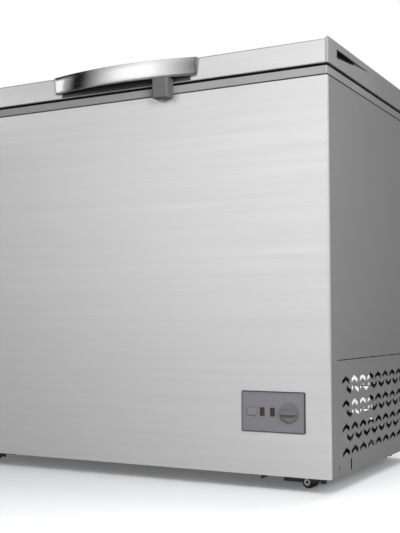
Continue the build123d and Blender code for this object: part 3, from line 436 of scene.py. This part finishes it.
bezelLook = {
    "shadeBorder": 0.0021, "face": (0.142, 0.141, 0.155, 1), "pale": (0.156, 0.155, 0.169, 1),
    "rim": (0.03, 0.03, 0.032, 1), "grain": 1500.0, "slow": 12.0, "roughLow": 0.42, "roughHigh": 0.52,
    "bump": 0.1, "depth": 0.0002,
}


def makeBezel(name, look):
    # moulded fascia with painted shade in a dark border round its edge, standing in for the shaded gap there
    material, tree, shader, coords = newFinish(name, 0.0)
    low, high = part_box("control_bezel")
    middle, half = (low + high) / 2, (high - low) / 2
    offset = vectorMaths(tree, "SUBTRACT", coords, tuple(middle))
    place = put(tree, "ShaderNodeSeparateXYZ", {0: offset}).outputs
    across = maths(tree, "ABSOLUTE", place["X"], 0.0)
    across = maths(tree, "SUBTRACT", across, half.x - look["shadeBorder"])
    upward = maths(tree, "ABSOLUTE", place["Z"], 0.0)
    upward = maths(tree, "SUBTRACT", upward, half.z - look["shadeBorder"])
    # dark border mask: painted shade for the gap round the fascia's edge
    shadeBorder = maths(tree, "GREATER_THAN", maths(tree, "MAXIMUM", across, upward), 0.0)
    grain = useGroup(tree, speckle, {"Vector": coords, "Scale": look["grain"], "Slow Scale": look["slow"]})
    face = mixColor(tree, grain["Patches"], look["face"], look["pale"])
    tree.links.new(mixColor(tree, shadeBorder, face, look["rim"]), shader.inputs["Base Color"])
    rough = span(tree, grain["Height"], 0.3, 0.7, look["roughLow"], look["roughHigh"])
    tree.links.new(rough, shader.inputs["Roughness"])
    bump(tree, shader, grain["Height"], look["bump"], look["depth"])
    return material


slotOf = {part["node"]: part["material_slot"] for part in frame["record"]["subparts"]}
for nodeName, nodeObject in nodes.items():
    nodeObject.data.materials.clear()
    nodeObject.data.materials.append(finishes[slotOf[nodeName]])
nodes["control_bezel"].data.materials[0] = makeBezel("fasciaPlastic", bezelLook)

# the sheet behind the bow handle carries painted shadow: a dark box standing in for the shade the handle
# casts on it
handleShadowLook = {"low": (-0.157, -0.4, 0.780), "high": (0.157, 0.0, 0.8395), "soft": 0.004, "tone": 0.085}
railPaintedShadow = makeBrushedSteel("brushedRailPaintedShadow", brushedLook, handleShadowLook)
for railName in ("lid_front_rail", "lid_front_strip"):
    if slotOf[railName] == "brushed_steel_skin":
        nodes[railName].data.materials[0] = railPaintedShadow
# lock moulding darker than the other grey plastic: painted shade from the handle above it
lockPaintedShade = makeMoulded("lockMouldingPaintedShade", grey(0.085), grey(0.1), 0.46, 1500.0, 0.12)
nodes["lock_housing"].data.materials[0] = lockPaintedShade
knobFinish = makeMoulded("knobMoulding", grey(0.105), grey(0.12), 0.42, 1600.0, 0.08)
nodes["thermostat_knob"].data.materials[0] = knobFinish

# painted shade deep inside the finger pocket of each end cap
pocketShadeLook = {
    "from": 0.0012, "to": 0.0045, "low": (-1, -0.226, 0.80), "high": (1, -0.108, 0.8435), "soft": 0.001,
    "tone": 0.004,
}


def makeCapPaintedShade(name, look):
    # grey moulding whose finger pocket is painted darker with depth: painted shade in the recess
    material = finishes["grey_plastic"].copy()
    material.name = name
    tree = material.node_tree
    shader = tree.nodes["Principled BSDF"]
    coords = put(tree, "ShaderNodeTexCoord").outputs["Object"]
    inside = boxMask(tree, coords, look["low"], look["high"], look["soft"])
    across = put(tree, "ShaderNodeSeparateXYZ", {0: coords}).outputs["X"]
    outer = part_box("right_end_cap")[1].x
    depth = maths(tree, "SUBTRACT", outer, maths(tree, "ABSOLUTE", across, 0.0))
    deep = span(tree, depth, look["from"], look["to"], 0.0, 1.0)
    color = shader.inputs["Base Color"].links[0].from_socket
    mask = maths(tree, "MULTIPLY", inside, deep)
    tree.links.new(mixColor(tree, mask, color, grey(look["tone"])), shader.inputs["Base Color"])
    return material


capPaintedShade = makeCapPaintedShade("capMouldingPaintedShade", pocketShadeLook)
for capName in ("left_end_cap", "right_end_cap"):
    nodes[capName].data.materials[0] = capPaintedShade


def finishPiece(bm, name, finish, body, replaced, sharp=35.0):
    bmesh.ops.recalc_face_normals(bm, faces=bm.faces)
    mesh = bpy.data.meshes.new(name)
    bm.to_mesh(mesh)
    bm.free()
    mesh.materials.append(finish)
    mesh.polygons.foreach_set("use_smooth", [True] * len(mesh.polygons))
    mesh.set_sharp_from_angle(angle=math.radians(sharp))
    piece = bpy.data.objects.new(name, mesh)
    bpy.context.scene.collection.objects.link(piece)
    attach(piece, body)
    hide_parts(*replaced)
    return piece


def bevelSharp(bm, width, segments, least=50.0):
    paired = [e for e in bm.edges if len(e.link_faces) == 2]
    edges = [e for e in paired if e.calc_face_angle() > math.radians(least)]
    shape = {"affect": "EDGES", "segments": segments, "profile": 0.5, "material": -1}
    bmesh.ops.bevel(bm, geom=edges, offset=width, **shape)


def islandBoxes(node):
    # box of each separate solid in a CAD node
    bm = bmesh.new()
    bm.from_mesh(node.data)
    bmesh.ops.remove_doubles(bm, verts=bm.verts, dist=1e-6)
    waiting, boxes = set(bm.verts), []
    while waiting:
        group, front = set(), [next(iter(waiting))]
        while front:
            vert = front.pop()
            if vert in group:
                continue
            group.add(vert)
            front.extend(e.other_vert(vert) for e in vert.link_edges)
        waiting -= group
        low = Vector([min(v.co[i] for v in group) for i in range(3)])
        high = Vector([max(v.co[i] for v in group) for i in range(3)])
        boxes.append((low, high))
    bm.free()
    return sorted(boxes, key=lambda box: tuple(round(v, 5) for v in box[0]))


handleLook = {
    "endBulge": 0.007, "flare": 0.003, "lean": 0.003, "plate": 0.0012, "band": 0.004, "foot": 0.025,
    "slope": 0.008, "seat": 0.6, "overrun": 0.01, "steps": 72, "plateEdge": 0.0007, "bodyEdge": 0.0005,
    "tuck": 0.0006,
}


def handleBow(look):
    # arc of the bow, whose middle stands furthest forward
    low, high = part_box("handle")
    half = high.x - look["flare"]
    bulge = high.y - low.y
    sagitta = bulge - look["endBulge"]
    radius = (half**2 + sagitta**2) / (2 * sagitta)
    return low, high, half, radius, Vector((0, high.y - bulge + radius, 0))


def bowBand(look, front, back, tuck):
    # leaning section swept round the bow, then cut to the flared ends
    low, high, half, radius, centre = handleBow(look)
    bm = bmesh.new()
    corners = (
        (look["lean"] + front, low.z + tuck), (front, high.z - tuck),
        (back, high.z - tuck), (look["lean"] + back, low.z + tuck),
    )
    angle = math.asin((high.x + look["overrun"]) / radius)
    turn = Matrix.Rotation(-angle, 3, "Z")
    verts = [bm.verts.new(centre + turn @ Vector((0, depth - radius, z))) for depth, z in corners]
    section = bm.faces.new(verts)
    sweep = {"cent": centre, "axis": up, "angle": 2 * angle, "steps": look["steps"]}
    bmesh.ops.spin(bm, geom=[section], use_duplicate=False, **sweep)
    for side in (-1, 1):
        normal = Vector((side * (high.z - low.z), 0, -look["flare"])).normalized()
        point = Vector((side * (half - tuck), 0, low.z))
        everything = bm.verts[:] + bm.edges[:] + bm.faces[:]
        plane = {"plane_co": point, "plane_no": normal}
        cut = bmesh.ops.bisect_plane(bm, geom=everything, clear_outer=True, **plane)
        rim = [e for e in cut["geom_cut"] if isinstance(e, bmesh.types.BMEdge)]
        bmesh.ops.contextual_create(bm, geom=rim)
    return bm


def makeHandlePlate(look):
    # bright face plate
    bm = bowBand(look, 0.0, look["plate"], 0.0)
    bevelSharp(bm, look["plateEdge"], 3)
    finishPiece(bm, "handlePlate", finishes["chrome"], "lid", ["handle"], 50.0)


def makeHandleBody(look):
    # dark moulding behind the plate, with a foot at each end
    bm = bowBand(look, look["plate"], look["band"], look["tuck"])
    low, high, half, radius, centre = handleBow(look)
    seat = look["band"] * look["seat"]
    for side in (-1, 1):
        for vert in bmesh.ops.create_cube(bm, size=1.0)["verts"]:
            outer, back, top = vert.co.x * side > 0, vert.co.y > 0, vert.co.z > 0
            inner = half - look["foot"] - (0 if back else look["slope"])
            reach = half - look["tuck"] if outer else inner
            lean = 0 if top else look["lean"]
            bow = centre.y - math.sqrt((radius - lean - seat) ** 2 - reach**2)
            level = high.z - look["tuck"] if top else low.z + look["tuck"]
            vert.co = (side * reach, high.y if back else bow, level)
    bevelSharp(bm, look["bodyEdge"], 2)
    finishPiece(bm, "handleBody", finishes["dark_plastic"], "lid", ["handle"])


screwLook = {
    "headHeight": 0.0022, "recess": 0.42, "recessDepth": 0.55, "dome": 0.35, "rows": 5, "taper": 0.7,
    "rimFrom": 0.9, "sunkReach": 0.85, "sunkWidth": 0.2,
}


def crossHead(bm, centre, outward, radius, look):
    # domed pan head; the middle row and column of its top sink into a cross recess
    made = bmesh.ops.create_grid(bm, x_segments=look["rows"], y_segments=look["rows"], size=radius)
    verts = made["verts"]
    height = look["headHeight"]
    recess = look["recess"] * radius
    cell = 2 * radius / look["rows"]
    faces = {face for vert in verts for face in vert.link_faces}
    for vert in verts:
        away = max(abs(vert.co.x), abs(vert.co.y))
        ring = round(away / cell + 0.5) - 0.5  # half for the middle cell's corners, then one more per ring
        if ring * cell > radius * look["rimFrom"]:
            vert.co = vert.co.normalized() * radius
        else:
            vert.co = vert.co * recess / (1.5 * cell)
    sunk = []
    for face in faces:
        middle = face.calc_center_median()
        onArm = min(abs(middle.x), abs(middle.y)) < look["sunkWidth"] * cell
        if onArm and middle.length < recess * look["sunkReach"]:
            sunk.append(face)
    for vert in verts:
        vert.co.z = height * (1 - look["dome"] * (vert.co.xy.length / radius) ** 2)
    rim = [e for e in {e for v in verts for e in v.link_edges} if len(e.link_faces) == 1]
    skirt = bmesh.ops.extrude_edge_only(bm, edges=rim)["geom"]
    wall = [g for g in skirt if isinstance(g, bmesh.types.BMVert)]
    for vert in wall:
        vert.co.z = 0
    floorEdges = [g for g in skirt if isinstance(g, bmesh.types.BMEdge) and len(g.link_faces) == 1]
    bmesh.ops.contextual_create(bm, geom=floorEdges)
    pit = bmesh.ops.extrude_face_region(bm, geom=sunk)["geom"]
    low = [g for g in pit if isinstance(g, bmesh.types.BMVert)]
    for vert in low:
        vert.co.xy *= look["taper"]
        vert.co.z -= height * look["recessDepth"]
    bmesh.ops.delete(bm, geom=[f for f in sunk if f.is_valid], context="FACES_KEEP_BOUNDARY")
    turn = Vector(outward).to_track_quat("Z", "Y").to_matrix().to_4x4()
    moved = [v for v in set(verts) | set(wall) | set(low) if v.is_valid]
    bmesh.ops.transform(bm, matrix=Matrix.Translation(centre) @ turn, verts=moved)


def makeScrews(name, node, body, look):
    # every screw here faces backwards
    bm = bmesh.new()
    for low, high in islandBoxes(nodes[node]):
        middle = (low + high) / 2
        seat = Vector((middle.x, high.y - look["headHeight"], middle.z))
        crossHead(bm, seat, (0, 1, 0), (high.x - low.x) / 2, look)
    finishPiece(bm, name, finishes["screw_steel"], body, [node], 40.0)


makeHandlePlate(handleLook)
makeHandleBody(handleLook)
print("handle made")
makeScrews("hingeBaseScrewHeads", "hinge_base_screws", "cabinet", screwLook)
makeScrews("hingeLeafScrewHeads", "leaf_screws", "lid", screwLook)
makeScrews("coverScrewHeads", "cover_screws", "cabinet", screwLook)
print("screws made")


cameraLook = {
    "place": (1.0552, -1.8923, 0.3186), "turn": 28.344, "tilt": 3.343, "roll": -0.11,
    "lens": 63.383, "film": 36.0, "farthest": 60,
}


def makeCamera(look):
    data = bpy.data.cameras.new("studioCamera")
    data.sensor_width = look["film"]
    data.lens = look["lens"]
    data.clip_end = look["farthest"]
    camera = bpy.data.objects.new("studioCamera", data)
    aim = Euler((math.radians(90 + look["tilt"]), 0, math.radians(look["turn"]))).to_quaternion()
    camera.rotation_mode = "QUATERNION"
    camera.rotation_quaternion = aim @ Quaternion((0, 0, 1), math.radians(look["roll"]))
    camera.location = look["place"]
    bpy.context.scene.collection.objects.link(camera)
    bpy.context.scene.camera = camera


floorLook = {
    "half": 9.0, "color": (0.79, 0.795, 0.805, 1), "seenByShine": (0.34, 0.34, 0.345, 1), "rough": 0.6,
    "glow": 0.14, "fadeFrom": 1.3, "fadeTo": 2.6, "backdrop": (0.87, 0.875, 0.885, 1), "shine": 0.1,
    "cloud": 2.0, "lift": 1.01,
}


def makeFloor(look):
    # reflections see the floor darker than the camera does
    bm = bmesh.new()
    bmesh.ops.create_grid(bm, x_segments=2, y_segments=2, size=look["half"])
    mesh = bpy.data.meshes.new("studioFloor")
    bm.to_mesh(mesh)
    bm.free()
    material, tree, shader, coords = newFinish("studioFloor", 0.0, {"Specular IOR Level": look["shine"]})
    seen = put(tree, "ShaderNodeLightPath").outputs["Is Camera Ray"]
    cloud = noiseAt(tree, coords, look["cloud"], 2.0)
    pale = mixColor(tree, cloud, look["color"], tuple(v * look["lift"] for v in look["color"]))
    distance = put(tree, "ShaderNodeVectorMath", {0: coords}, operation="LENGTH").outputs["Value"]
    far = span(tree, distance, look["fadeFrom"], look["fadeTo"], 0.0, 1.0)
    near = mixColor(tree, seen, look["seenByShine"], pale)
    color = mixColor(tree, maths(tree, "MULTIPLY", far, seen), near, grey(0.0))
    tree.links.new(color, shader.inputs["Base Color"])
    tree.links.new(mixColor(tree, far, look["color"], look["backdrop"]), shader.inputs["Emission Color"])
    glow = span(tree, far, 0.0, 1.0, look["glow"], 1.0)
    tree.links.new(maths(tree, "MULTIPLY", seen, glow), shader.inputs["Emission Strength"])
    shader.inputs["Roughness"].default_value = look["rough"]
    floor = bpy.data.objects.new("studioFloor", mesh)
    mesh.materials.append(material)
    bpy.context.scene.collection.objects.link(floor)


lightLook = {
    "farRight": {"place": (1.9, -1.5, 0.9), "aim": (0.3, -0.3, 0.4), "size": (0.8, 0.8), "power": 32.0},
    "nearRight": {"place": (0.9, -1.2, 1.1), "aim": (0.3, -0.28, 0.5), "size": (0.5, 0.5), "power": 14.8},
    "lowFront": {"place": (0.0, -2.6, 0.5), "aim": (0, 0, 0), "size": (3.0, 0.6), "power": 11.8},
    "handleCard": {
        "place": (-0.61, -0.46, 0.89), "aim": (-0.17, -0.30, 0.83), "size": (0.13, 0.15), "power": 0.05,
        "shine": True,
    },
    "rearWash": {"place": (0.6, 2.8, 2.6), "aim": (0, 0.2, 0.4), "size": (2.4, 1.8), "power": 42.0},
    "topWash": {"place": (0.0, 0.6, 2.8), "aim": (0, 0.2, 0.8), "size": (1.6, 1.2), "power": 38.0},
}


def makeLights(look):
    # soft boxes for shade and shadow; only the handle card shows in reflections
    for name, values in look.items():
        data = bpy.data.lights.new(name, "AREA")
        data.shape = "RECTANGLE"
        data.size, data.size_y = values["size"]
        data.energy = values["power"]
        lamp = bpy.data.objects.new(name, data)
        lamp.location = values["place"]
        lamp.visible_glossy = values.get("shine", False)
        aim = Vector(values["aim"]) - Vector(values["place"])
        lamp.rotation_mode = "QUATERNION"
        lamp.rotation_quaternion = aim.to_track_quat("-Z", "Y")
        bpy.context.scene.collection.objects.link(lamp)


# brightness of the room by compass direction, in degrees from -Y towards -X:
# the direction, then the level in a belt near the horizon and the level above it
skyLook = {
    "stops": [
        (-180, 0.39, 0.29), (-130, 0.40, 0.29), (-95, 0.40, 0.30), (-70, 0.39, 0.20), (-45, 0.38, 0.16),
        (-20, 0.36, 0.17), (-4, 0.08, 0.16), (8, 0.66, 0.72), (20, 1.30, 1.02), (32, 1.08, 0.76),
        (44, 0.30, 0.38), (50, 0.0, 0.07), (55, 0.0, 0.0), (60, 0.46, 0.0), (65, 0.22, 0.0), (70, 0.0, 0.0),
        (85, 0.06, 0.08), (110, 0.40, 0.30), (150, 0.41, 0.31), (180, 0.39, 0.29),
    ],
    "beltMiddle": 0.12, "beltHalf": 0.11, "beltEdge": 0.08, "fadeFrom": 0.45, "fadeTo": 0.85, "zenith": 0.08,
}


def compassRamp(tree, turn, stops, column):
    ramp = put(tree, "ShaderNodeValToRGB", {0: turn})
    elements = ramp.color_ramp.elements
    elements[0].position, elements[0].color = 0.0, grey(stops[0][column])
    elements[1].position, elements[1].color = 1.0, grey(stops[-1][column])
    for stop in stops[1:-1]:
        elements.new((stop[0] + 180) / 360).color = grey(stop[column])
    return ramp.outputs["Color"]


def makeSky(look):
    world = bpy.data.worlds.new("softRoom")
    world.use_nodes = True
    bpy.context.scene.world = world
    tree = world.node_tree
    around = put(tree, "ShaderNodeTexCoord").outputs["Generated"]
    direction = put(tree, "ShaderNodeSeparateXYZ", {0: around})
    flipX = maths(tree, "MULTIPLY", direction.outputs["X"], -1.0)
    flipY = maths(tree, "MULTIPLY", direction.outputs["Y"], -1.0)
    turn = span(tree, maths(tree, "ARCTAN2", flipX, flipY), -math.pi, math.pi, 0.0, 1.0)
    belt = compassRamp(tree, turn, look["stops"], 1)
    upper = compassRamp(tree, turn, look["stops"], 2)
    height = direction.outputs["Z"]
    away = maths(tree, "ABSOLUTE", maths(tree, "SUBTRACT", height, look["beltMiddle"]), 0.0)
    above = span(tree, away, look["beltHalf"], look["beltHalf"] + look["beltEdge"], 0.0, 1.0)
    zenith = span(tree, height, look["fadeFrom"], look["fadeTo"], 0.0, 1.0)
    room = mixColor(tree, zenith, mixColor(tree, above, belt, upper), grey(look["zenith"]))
    seen = put(tree, "ShaderNodeLightPath").outputs["Is Camera Ray"]
    background = tree.nodes["Background"]
    tree.links.new(mixColor(tree, seen, room, grey(1.0)), background.inputs["Color"])
    background.inputs["Strength"].default_value = 1.0


makeCamera(cameraLook)
makeFloor(floorLook)
makeLights(lightLook)
makeSky(skyLook)
bpy.context.scene.view_settings.view_transform = "Standard"
print("studio ready")
